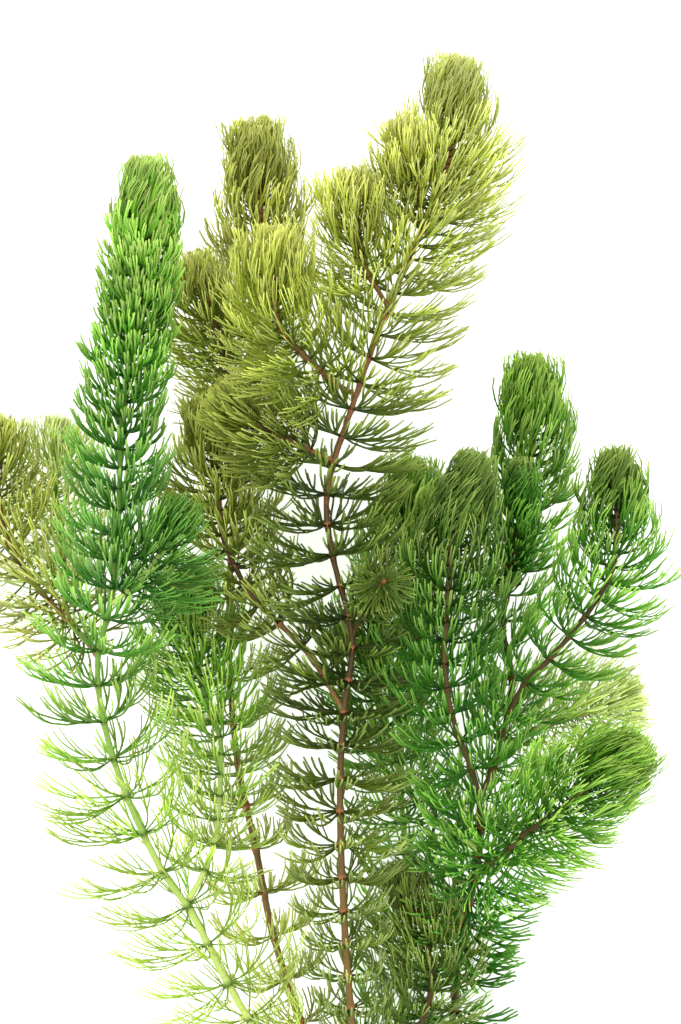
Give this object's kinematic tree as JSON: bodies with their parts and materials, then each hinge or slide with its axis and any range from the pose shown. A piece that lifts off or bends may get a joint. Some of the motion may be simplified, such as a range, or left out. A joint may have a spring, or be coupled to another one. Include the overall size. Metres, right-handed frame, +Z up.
{
  "type": "hornwort",
  "caption": "Bushy sprig of hornwort, a water plant with whorls of fine forked leaves, lying on its side as picked.",
  "frame": {"origin": "middle of the plant's footprint, on the surface that it lies on", "axes": "+Y from the cut end to the growing tips, +Z up from the surface, +X to the right as seen from above"},
  "size_m": [0.1812, 0.2872, 0.0945],
  "materials": {
    "bright_leaf": "satin, a little see-through, fresh green",
    "olive_leaf": "satin, a little see-through, olive green",
    "dark_leaf": "satin, a little see-through, dark green",
    "pale_leaf": "satin, a little see-through, pale yellow-green"
  },
  "bodies": {
    "root": {"back_side_branch": "olive_leaf", "far_left_bud": "pale_leaf", "far_left_shoot": "olive_leaf", "left_inner_branch": "bright_leaf", "left_low_branch": "bright_leaf", "left_shoot": "bright_leaf", "low_shoot": "dark_leaf", "main_front_branch": "pale_leaf", "main_high_branch": "olive_leaf", "main_left_branch": "olive_leaf", "main_low_branch": "olive_leaf", "main_right_branch": "dark_leaf", "main_shoot": "olive_leaf", "main_top_branch": "olive_leaf", "middle_back_shoot": "bright_leaf", "middle_side_branch": "bright_leaf", "right_low_branch": "bright_leaf", "right_outer_branch": "dark_leaf", "right_pale_branch": "pale_leaf", "right_shoot": "dark_leaf", "right_small_bud": "dark_leaf", "right_tall_branch": "bright_leaf", "tall_back_shoot": "olive_leaf"}
  },
  "joints": []
}
